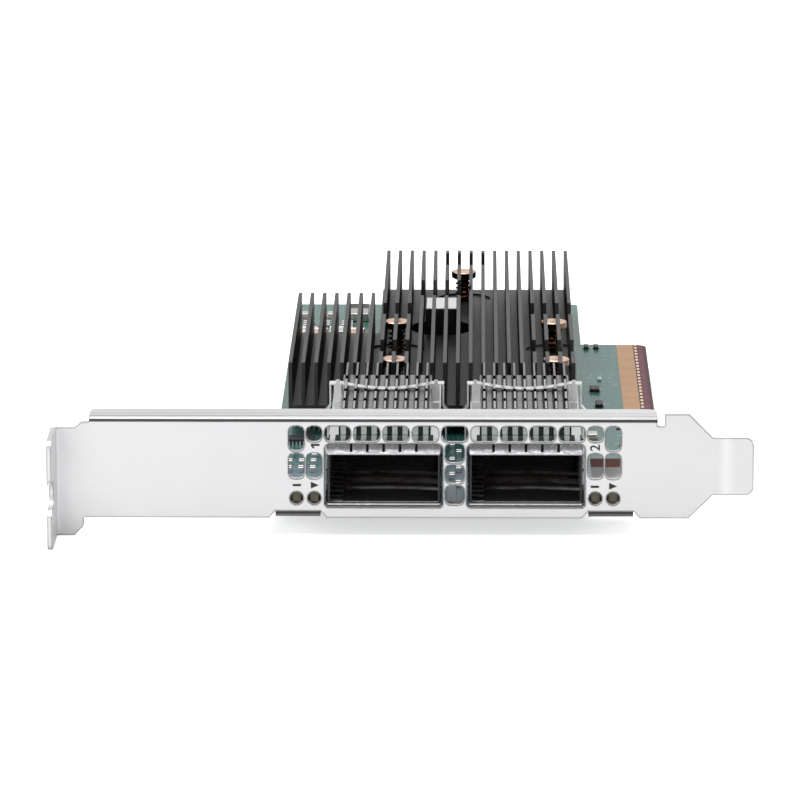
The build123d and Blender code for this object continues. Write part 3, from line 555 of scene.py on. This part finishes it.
# The fingers' roots are painted darker still as shade.
painted_root_shade = (spring_sheet.y > 1.2) & (spring_sheet.facing("Y") < -0.5)
painted_root_shade = painted_root_shade | (spring_sheet.facing("Z") > 0.5) & spring_sheet.y.between(1.3, 2.7)
sprung = spring_sheet.blend(painted_root_shade, sprung, tone(16, 16, 18))
from_fin = across_port(spring_sheet).repeats(fin_pitch)
# The stripes of painted shade from the cage's roof go on here.
painted_collar_gap_shade = (spring_sheet.z > 11.7) & (spring_sheet.y > 2.7) & (from_fin > stripe_from_fin)
spring_sheet.put("Base Color", spring_sheet.blend(painted_collar_gap_shade, sprung, tone(4, 30, 16)))
spring_sheet.put("Metallic", 1.0 - (0.6 * (flared * band) | painted_collar_gap_shade | painted_root_shade))
spring_sheet.put("Roughness", 0.06 + flared * (0.12 + 0.16 * crinkle) + 0.8 * (painted_collar_gap_shade | painted_root_shade))
spring_sheet.relief(crinkle * flared, 0.22, spring_sheet.rounded(0.08))
wear(["port_1_spring_collar", "port_2_spring_collar"], spring_sheet)

# The connector at the back of each cage is glossy black moulding with gold blades.
moulding = Finish("black_moulding")
flow = moulding.noise(0.5, 3.0)
moulding.put("Base Color", moulding.blend(flow, tone(14, 14, 15), tone(26, 26, 28)))
moulding.put("Roughness", 0.28 + 0.2 * flow)
moulding.relief(moulding.noise(8.0, 2.0), 0.01, moulding.rounded(0.15))
wear(["port_1_connector", "port_2_connector"], moulding)
wear(["port_1_contacts", "port_2_contacts"], gold)

# The floating heat sinks are extruded aluminium with a clear anodised skin, sawn across into rows
# of short fins. The fins' sides and the channels between them are painted nearly black as shade,
# as they look from the front, and so are stripes across the foot where no gap is cut. The fins'
# upper faces carry a painted highlight, darker towards the rear, and the front face below the vents
# is painted pale as lit.
extrusion = Finish("clear_anodised_aluminium")
drawn_lines = extrusion.noise(1.0, 2.0, extrusion.stretched(6.0, 0.15, 6.0))
dull = extrusion.noise(0.3, 2.0)
skin = extrusion.blend(drawn_lines * 0.6 + dull * 0.4, tone(142, 143, 145), tone(172, 173, 175))
from_fin = across_port(extrusion).repeats(fin_pitch)
cross_cut_y = 27.75
cross_cut_half = 0.12
fin_foot = 13.6
fin_near_top = 15.7
lying = extrusion.facing("Z") > 0.5
cuts = (from_fin < 0.50) | (abs(extrusion.y - cross_cut_y) < cross_cut_half)
# The channels between the fins and the fins' upright faces are painted nearly black as shade.
painted_channel_shade = lying * (extrusion.z < fin_foot + 0.1) * cuts
painted_fin_side_shade = (extrusion.z > fin_foot) * (abs(extrusion.facing("Z")) < 0.5)
skin = extrusion.blend(painted_channel_shade | painted_fin_side_shade, skin, tone(16, 16, 17))
# The fins' upper faces carry a painted highlight, darker towards the rear.
painted_top_highlight = extrusion.blend(extrusion.y.fade(36.0, 39.0), tone(184, 184, 186), tone(140, 138, 143))
skin = extrusion.blend(lying * (extrusion.z > fin_near_top), skin, painted_top_highlight)
front_face_y = 9.52
# The front face below the vents is painted pale and made not metallic, as lit.
painted_lit_front = extrusion.y < front_face_y
skin = extrusion.blend(painted_lit_front, skin, tone(226, 238, 234))
# Stripes of painted shade across the foot stand for gaps that are not cut.
painted_foot_gap_shade = (from_fin > 0.47) * (extrusion.y < 17.6) * (extrusion.z < 13.54)
skin = extrusion.blend(painted_foot_gap_shade, skin, tone(2, 26, 12))
extrusion.put("Base Color", skin)
extrusion.put("Metallic", 1.0 - (painted_foot_gap_shade | painted_lit_front))
extrusion.put("Roughness", 0.32 + 0.14 * drawn_lines + 0.4 * painted_foot_gap_shade)
extrusion.relief(drawn_lines, 0.012, extrusion.rounded(0.08))
wear(["port_1_heat_sink", "port_2_heat_sink"], extrusion)

# The clips are bent from bright stainless strip. The strap lies on the floating heat sink and rises
# with it while the hooks stay on the cage, so the legs give a little. The faces that look to the
# front are made much less metallic than the others, so that they show paler.
stainless = Finish("bright_stainless_strip")
polish = stainless.noise(0.5, 3.0)
stainless.put("Metallic", 0.1 + 0.6 * (stainless.facing("Y") > -0.5))
stainless.put("Base Color", stainless.blend(polish, tone(230, 231, 232), tone(250, 250, 250)))
stainless.put("Roughness", 0.24 + 0.10 * polish)
stainless.relief(polish, 0.012, stainless.rounded(0.10))
for port in (1, 2):
    name = f"port_{port}_clip"
    bent = bmesh.new()
    bent.from_mesh(nodes[name].data)
    bmesh.ops.scale(bent, vec=(1000.0, 1000.0, 1000.0), verts=bent.verts)
    clip = fit(bent, f"port_{port}_spring_clip", [stainless], body=None, replaced=[name])
    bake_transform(clip)

# The main heat sink is one black anodised extrusion. The skin is satin, with faint drawn lines
# along the fins, and is rubbed a little paler on the fins' edges.
anodised = Finish("black_anodised_aluminium", IOR=1.55)
lines = anodised.noise(1.0, 2.0, anodised.stretched(7.0, 0.12, 7.0))
speck = anodised.noise(3.0, 2.0)
black = anodised.blend(lines * 0.6 + speck * 0.4, tone(20, 20, 21), tone(34, 34, 35))
black = anodised.blend(anodised.edges(0.10) * 0.55, black, tone(92, 92, 94))
anodised.put("Base Color", black)
anodised.put("Roughness", 0.30 + 0.16 * lines)
anodised.relief(lines * 0.6 + speck * 0.4, 0.010, anodised.rounded(0.10))
wear(["main_heat_sink"], anodised)


# Five push pins hold the heat sink. Each is turned brass with a copper tint: a broad head with
# a turned dimple, a shaft, and a split barb that snaps in under the board.
def solids_of(name):
    """The box of every solid in a CAD group, in millimetres, from a merged copy of its mesh."""
    copy = bmesh.new()
    copy.from_mesh(nodes[name].data)
    bmesh.ops.remove_doubles(copy, verts=copy.verts, dist=1e-7)
    bmesh.ops.scale(copy, vec=(1000.0, 1000.0, 1000.0), verts=copy.verts)
    waiting = set(copy.verts)
    boxes = []
    while waiting:
        reached = [waiting.pop()]
        points = []
        while reached:
            vert = reached.pop()
            points.append(vert.co.copy())
            for edge in vert.link_edges:
                other = edge.other_vert(vert)
                if other in waiting:
                    waiting.remove(other)
                    reached.append(other)
        low = Vector(min(point[axis] for point in points) for axis in range(3))
        high = Vector(max(point[axis] for point in points) for axis in range(3))
        boxes.append((low, high))
    copy.free()
    return sorted(boxes, key=lambda box: tuple(box[0]))


def middles(boxes):
    """The middle of every box."""
    return [(low + high) / 2 for low, high in boxes]


def turned(mesh, profile, steps):
    """Spin a profile of radius and height round the Z axis."""
    verts = [mesh.verts.new((radius, 0.0, height)) for radius, height in profile]
    edges = [mesh.edges.new(pair) for pair in zip(verts, verts[1:])]
    bmesh.ops.spin(
        mesh, geom=verts + edges, cent=(0, 0, 0), axis=(0, 0, 1), angle=math.radians(360), steps=steps,
        use_merge=True, use_normal_flip=False)
    bmesh.ops.remove_doubles(mesh, verts=mesh.verts, dist=1e-4)
    bmesh.ops.recalc_face_normals(mesh, faces=mesh.faces)


def stamped(template, spots):
    """One mesh that holds the template at every spot."""
    whole = bmesh.new()
    data = bpy.data.meshes.new("template")
    template.to_mesh(data)
    for spot in spots:
        before = len(whole.verts)
        whole.from_mesh(data)
        whole.verts.ensure_lookup_table()
        bmesh.ops.translate(whole, verts=whole.verts[before:], vec=spot)
    template.free()
    return whole


def soften(piece, angle=35.0):
    """Shade a turned piece smooth, but keep its sharp corners."""
    piece.data.polygons.foreach_set("use_smooth", [True] * len(piece.data.polygons))
    piece.data.set_sharp_from_angle(angle=math.radians(angle))
    return piece


copper = Finish("copper_tinted_brass", Metallic=1.0)
turning = copper.noise(1.0, 2.0, copper.stretched(2.0, 2.0, 14.0))
tarnish = copper.noise(0.8, 3.0)
plated = copper.blend(tarnish, tone(252, 204, 174), tone(255, 220, 194))
# The upright faces of the pins are painted dark as shade.
painted_pin_side_shade = abs(copper.facing("Z")) < 0.6
copper.put("Base Color", copper.blend(painted_pin_side_shade * (0.7 + 0.3 * turning), plated, tone(24, 14, 9)))
copper.put("Roughness", 0.20 + 0.14 * turning)
copper.relief(turning, 0.0015)

pin_boxes = solids_of("spring_pins")
pin_low, pin_high = pin_boxes[0]
head = (pin_high.x - pin_low.x) / 2
under = pin_high.z - 1.3
tip = pin_low.z
shaft = 0.98
split_z = 0.9
split_half = 0.25
barb_z = -0.10
pin = bmesh.new()
turned(pin, (
    (0.0, pin_high.z - 0.05), (0.30, pin_high.z), (head - 0.10, pin_high.z), (head, pin_high.z - 0.12),
    (head, under + 0.2), (head - 0.15, under), (shaft, under), (shaft, split_z), (0.0, split_z)), 36)
leg = bmesh.new()
turned(leg, (
    (0.0, split_z), (shaft, split_z), (shaft, barb_z), (1.40, barb_z), (1.46, barb_z - 0.15),
    (0.62, tip + 0.1), (0.5, tip), (0.0, tip)), 24)
for outward in (1.0, -1.0):
    prong = leg.copy()
    everything = prong.verts[:] + prong.edges[:] + prong.faces[:]
    cut = bmesh.ops.bisect_plane(
        prong, geom=everything, plane_co=(outward * split_half, 0, 0), plane_no=(outward, 0, 0),
        clear_inner=True)
    cut_edges = [item for item in cut["geom_cut"] if isinstance(item, bmesh.types.BMEdge)]
    bmesh.ops.holes_fill(prong, edges=cut_edges)
    data = bpy.data.meshes.new("leg")
    prong.to_mesh(data)
    prong.free()
    pin.from_mesh(data)
leg.free()
pin_spots = [middle.to_2d().to_3d() for middle in middles(pin_boxes)]
soften(fit(stamped(pin, pin_spots), "push_pins", [copper], replaced=["spring_pins"]))

# Each pin carries a coil spring of round copper-plated wire, from its head to the pocket's floor.
wire = Finish("copper_plated_wire", Metallic=1.0)
drawn_marks_and_glints = wire.noise(1.2, 3.0)
# The wire's colour is painted mostly dark as shade, with painted copper glints.
wire.put("Base Color", wire.blend(drawn_marks_and_glints.fade(0.45, 0.7), tone(26, 17, 13), tone(196, 126, 90)))
wire.put("Roughness", 0.22 + 0.15 * drawn_marks_and_glints)
wire.relief(drawn_marks_and_glints, 0.01)
spring_low, spring_high = solids_of("pin_springs")[0]
wire_radius = 0.21
coil_radius = 1.42
turns = 4.5
rise = spring_high.z - spring_low.z - 2 * wire_radius
coil = bmesh.new()
ring_verts = bmesh.ops.create_circle(coil, segments=8, radius=wire_radius)["verts"]
upright_ring = Matrix.Rotation(math.radians(90), 3, "X")
bmesh.ops.rotate(coil, verts=ring_verts, cent=(0, 0, 0), matrix=upright_ring)
bmesh.ops.translate(coil, verts=ring_verts, vec=(coil_radius, 0.0, spring_low.z + wire_radius))
steps = 120
loop = coil.verts[:] + coil.edges[:]
bmesh.ops.spin(
    coil, geom=loop, cent=(0, 0, 0), axis=(0, 0, 1), dvec=(0, 0, rise / steps),
    angle=math.radians(360) * turns, steps=steps, use_merge=False)
bmesh.ops.holes_fill(coil, edges=[edge for edge in coil.edges if edge.is_boundary])
bmesh.ops.recalc_face_normals(coil, faces=coil.faces)
coils = stamped(coil, pin_spots)
soften(fit(coils, "coil_springs", [wire], replaced=["pin_springs"]), 60.0)

# Two plated pan-head screws hold the board to the bracket's tabs.
wear(["bracket_screws"], stainless)

# The controller under the heat sink is a green organic substrate with a nickel lid,
# and a grey thermal pad fills the gap.
substrate = Finish("chip_substrate")
grain = substrate.noise(1.5, 3.0)
substrate.put("Base Color", substrate.blend(grain, tone(22, 62, 44), tone(40, 84, 60)))
substrate.put("Roughness", 0.35 + 0.15 * grain)
substrate.relief(grain, 0.01, substrate.rounded(0.1))
wear(["controller_chip"], substrate)
nickel = Finish("nickel_lid", Metallic=1.0)
satin = nickel.noise(2.0, 3.0)
nickel.put("Base Color", nickel.blend(satin, tone(178, 176, 170), tone(214, 212, 206)))
nickel.put("Roughness", 0.28 + 0.12 * satin)
nickel.relief(satin, 0.006, nickel.rounded(0.12))
wear(["controller_lid"], nickel)
pad = Finish("thermal_pad_putty", Roughness=0.8)
lump = pad.noise(1.0, 4.0)
pad.put("Base Color", pad.blend(lump, tone(120, 124, 130), tone(158, 162, 166)))
pad.relief(lump, 0.05)
wear(["thermal_pad"], pad)

# The tall power coil is pressed ferrite, with a plain white paper label glued on its top.
ferrite = Finish("pressed_ferrite")
granule = ferrite.noise(5.0, 3.0)
ferrite.put("Base Color", ferrite.blend(granule, tone(18, 18, 19), tone(42, 42, 43)))
ferrite.put("Roughness", 0.45 + 0.2 * granule)
ferrite.relief(granule, 0.03, ferrite.rounded(0.25))
wear(["power_coil"], ferrite)
paper = Finish("label_paper", Roughness=0.55)
fibre = paper.noise(3.0, 4.0)
paper.put("Base Color", paper.blend(fibre, tone(202, 202, 202), tone(218, 218, 217)))
paper.relief(fibre, 0.01, paper.rounded(0.06))
wear(["coil_label"], paper)

# The status lamps are clear side-looking lamps: an olive body behind each round hole.
lamp_resin = Finish("lamp_resin", Roughness=0.25)
cast = lamp_resin.noise(1.4, 3.0)
lamp_resin.put("Base Color", lamp_resin.blend(cast, tone(58, 56, 38), tone(110, 105, 78)))
lamp_resin.relief(cast, 0.05, lamp_resin.rounded(0.15))
wear(["status_lamps"], lamp_resin)


# The small chip capacitors are tan ceramic bars with tinned end caps, soldered flat on the board.
def bar(mesh, low, high, ease, finish=0, segments=1):
    """A box between two corners, with eased edges."""
    low, high = Vector(low), Vector(high)
    before = set(mesh.faces)
    grown = Matrix.Translation((low + high) / 2) @ Matrix.Diagonal((*(high - low), 1.0))
    made = bmesh.ops.create_cube(mesh, size=1.0, matrix=grown)
    if ease:
        rims = list({edge for vert in made["verts"] for edge in vert.link_edges})
        bmesh.ops.bevel(
            mesh, geom=rims, offset=ease, segments=segments, profile=0.5, affect="EDGES", material=-1)
    for face in mesh.faces:
        if face not in before:
            face.material_index = finish


def end_capped(name, piece_name, finishes, cap, ease):
    """Give every bar of a CAD group a body and two end caps along its longer side."""
    boxes = solids_of(name)
    low, high = boxes[0]
    half = (high - low) / 2
    slimmer = 0.94
    body_half = half.x * slimmer
    part = bmesh.new()
    bar(part, (-body_half, -half.y + cap, -half.z), (body_half, half.y - cap, half.z * slimmer), ease, 0)
    for end in (-1, 1):
        inside, outside = sorted((end * half.y, end * (half.y - cap)))
        bar(part, (-half.x, inside, -half.z), (half.x, outside, half.z), ease, 1)
    return fit(stamped(part, middles(boxes)), piece_name, finishes, replaced=[name])


solder = Finish("bright_solder", Metallic=1.0)
flux = solder.noise(3.0, 3.0)
solder.put("Base Color", solder.blend(flux, tone(196, 198, 200), tone(240, 241, 242)))
solder.put("Roughness", 0.2 + 0.2 * flux)
solder.relief(flux, 0.03)
ceramic = Finish("tan_ceramic", Roughness=0.5)
fired = ceramic.noise(2.0, 3.0)
ceramic.put("Base Color", ceramic.blend(fired, tone(150, 134, 122), tone(186, 170, 156)))
ceramic.relief(fired, 0.01)
tan_bar = [ceramic, solder]
end_capped("ceramic_capacitors", "chip_capacitors", tan_bar, 0.36, 0.07)
end_capped("solder_side_capacitors", "lower_chip_capacitors", tan_bar, 0.32, 0.06)

# The chip resistors are white alumina with a black glazed top and tinned ends.
glaze = Finish("black_glaze", Roughness=0.3)
pour = glaze.noise(2.0, 2.0)
glaze.put("Base Color", glaze.blend(pour, tone(20, 20, 22), tone(44, 44, 48)))
glaze.relief(pour, 0.01)
end_capped("resistors", "chip_resistors", [glaze, solder], 0.30, 0.04)

# The bulk capacitors are pale moulded blocks with folded end strips.
yellow = Finish("pale_moulding", Roughness=0.45)
gate = yellow.noise(1.5, 3.0)
yellow.put("Base Color", yellow.blend(gate, tone(196, 150, 130), tone(222, 180, 158)))
yellow.relief(gate, 0.02)
end_capped("bulk_capacitors", "moulded_capacitors", [yellow, solder], 0.5, 0.12)


# The flat chips are black epoxy with a laser-dulled top, a first-pin dimple and tinned leads
# folded down to the board on two sides.
epoxy = Finish("black_epoxy")
filler = epoxy.noise(6.0, 3.0)
epoxy.put("Base Color", epoxy.blend(filler, tone(22, 22, 24), tone(46, 46, 49)))
epoxy.put("Roughness", 0.35 + 0.2 * filler)
epoxy.relief(filler, 0.012)
dimple = Finish("first_pin_dimple", Roughness=0.3)
dimple.put("Base Color", dimple.blend(dimple.noise(5.0), tone(52, 52, 55), tone(76, 76, 80)))


def leaded(name, piece_name, pitch, lead, body):
    """Give every chip of a CAD group a bevelled body, a dimple and rows of leads."""
    foot = 0.12
    lead_thick = 0.16
    dot_inset = 0.6
    whole = bmesh.new()
    for low, high in solids_of(name):
        middle = (low + high) / 2
        along = 1 if high.y - low.y >= high.x - low.x else 0
        across = 1 - along
        inset = Vector((0.0, 0.0, 0.0))
        inset[across] = lead
        bar(whole, low + inset + Vector((0, 0, foot)), high - inset, 0.10, 0)
        count = max(2, int((high[along] - low[along] - 0.5) / pitch))
        for step in range(count):
            place = middle[along] + (step - (count - 1) / 2) * pitch
            for end in (-1, 1):
                edge = high[across] if end > 0 else low[across]
                near, far = Vector(low), Vector(high)
                near[along], far[along] = place - pitch * 0.22, place + pitch * 0.22
                near[across], far[across] = sorted((edge, edge - end * lead * 1.2))
                near.z, far.z = low.z, low.z + lead_thick
                bar(whole, near, far, 0.0, 1)
                near[across], far[across] = sorted((edge - end * lead * 0.8, edge - end * lead * 1.2))
                far.z = low.z + (high.z - low.z) * 0.55
                bar(whole, near, far, 0.0, 1)
        dot = low.copy()
        dot.z = high.z + 0.001
        dot[across] += lead + dot_inset
        dot[along] += dot_inset
        spun = bmesh.ops.create_circle(
            whole, cap_ends=True, segments=14, radius=0.28, matrix=Matrix.Translation(dot))
        for face in {face for vert in spun["verts"] for face in vert.link_faces}:
            face.material_index = 2
    bmesh.ops.recalc_face_normals(whole, faces=whole.faces)
    return fit(whole, piece_name, [body, solder, dimple], replaced=[name])


leaded("voltage_regulators", "power_chips", 0.8, 0.45, epoxy)
leaded("memory_chip", "flash_chip", 0.9, 0.5, nickel)
leaded("strip_chips", "strip_power_chips", 0.7, 0.3, epoxy)
leaded("interface_chip", "leaded_interface_chip", 0.65, 0.7, epoxy)
wear(["low_coils"], ferrite)

# The three clock crystals are bright metal cans welded on a pale foot.
can_boxes = solids_of("crystal_cans")
can_low, can_high = can_boxes[0]
half = (can_high - can_low) / 2
foot_top = -half.z * 0.4
ledge = 0.12
can_x = half.x - ledge
can_y = half.y - ledge
can = bmesh.new()
bar(can, -half, (half.x, half.y, foot_top), 0.05, 1)
bar(can, (-can_x, -can_y, foot_top), (can_x, can_y, half.z), 0.14, 0, 2)
cans = stamped(can, middles(can_boxes))
fit(cans, "clock_crystals", [solder, yellow], replaced=["crystal_cans"])
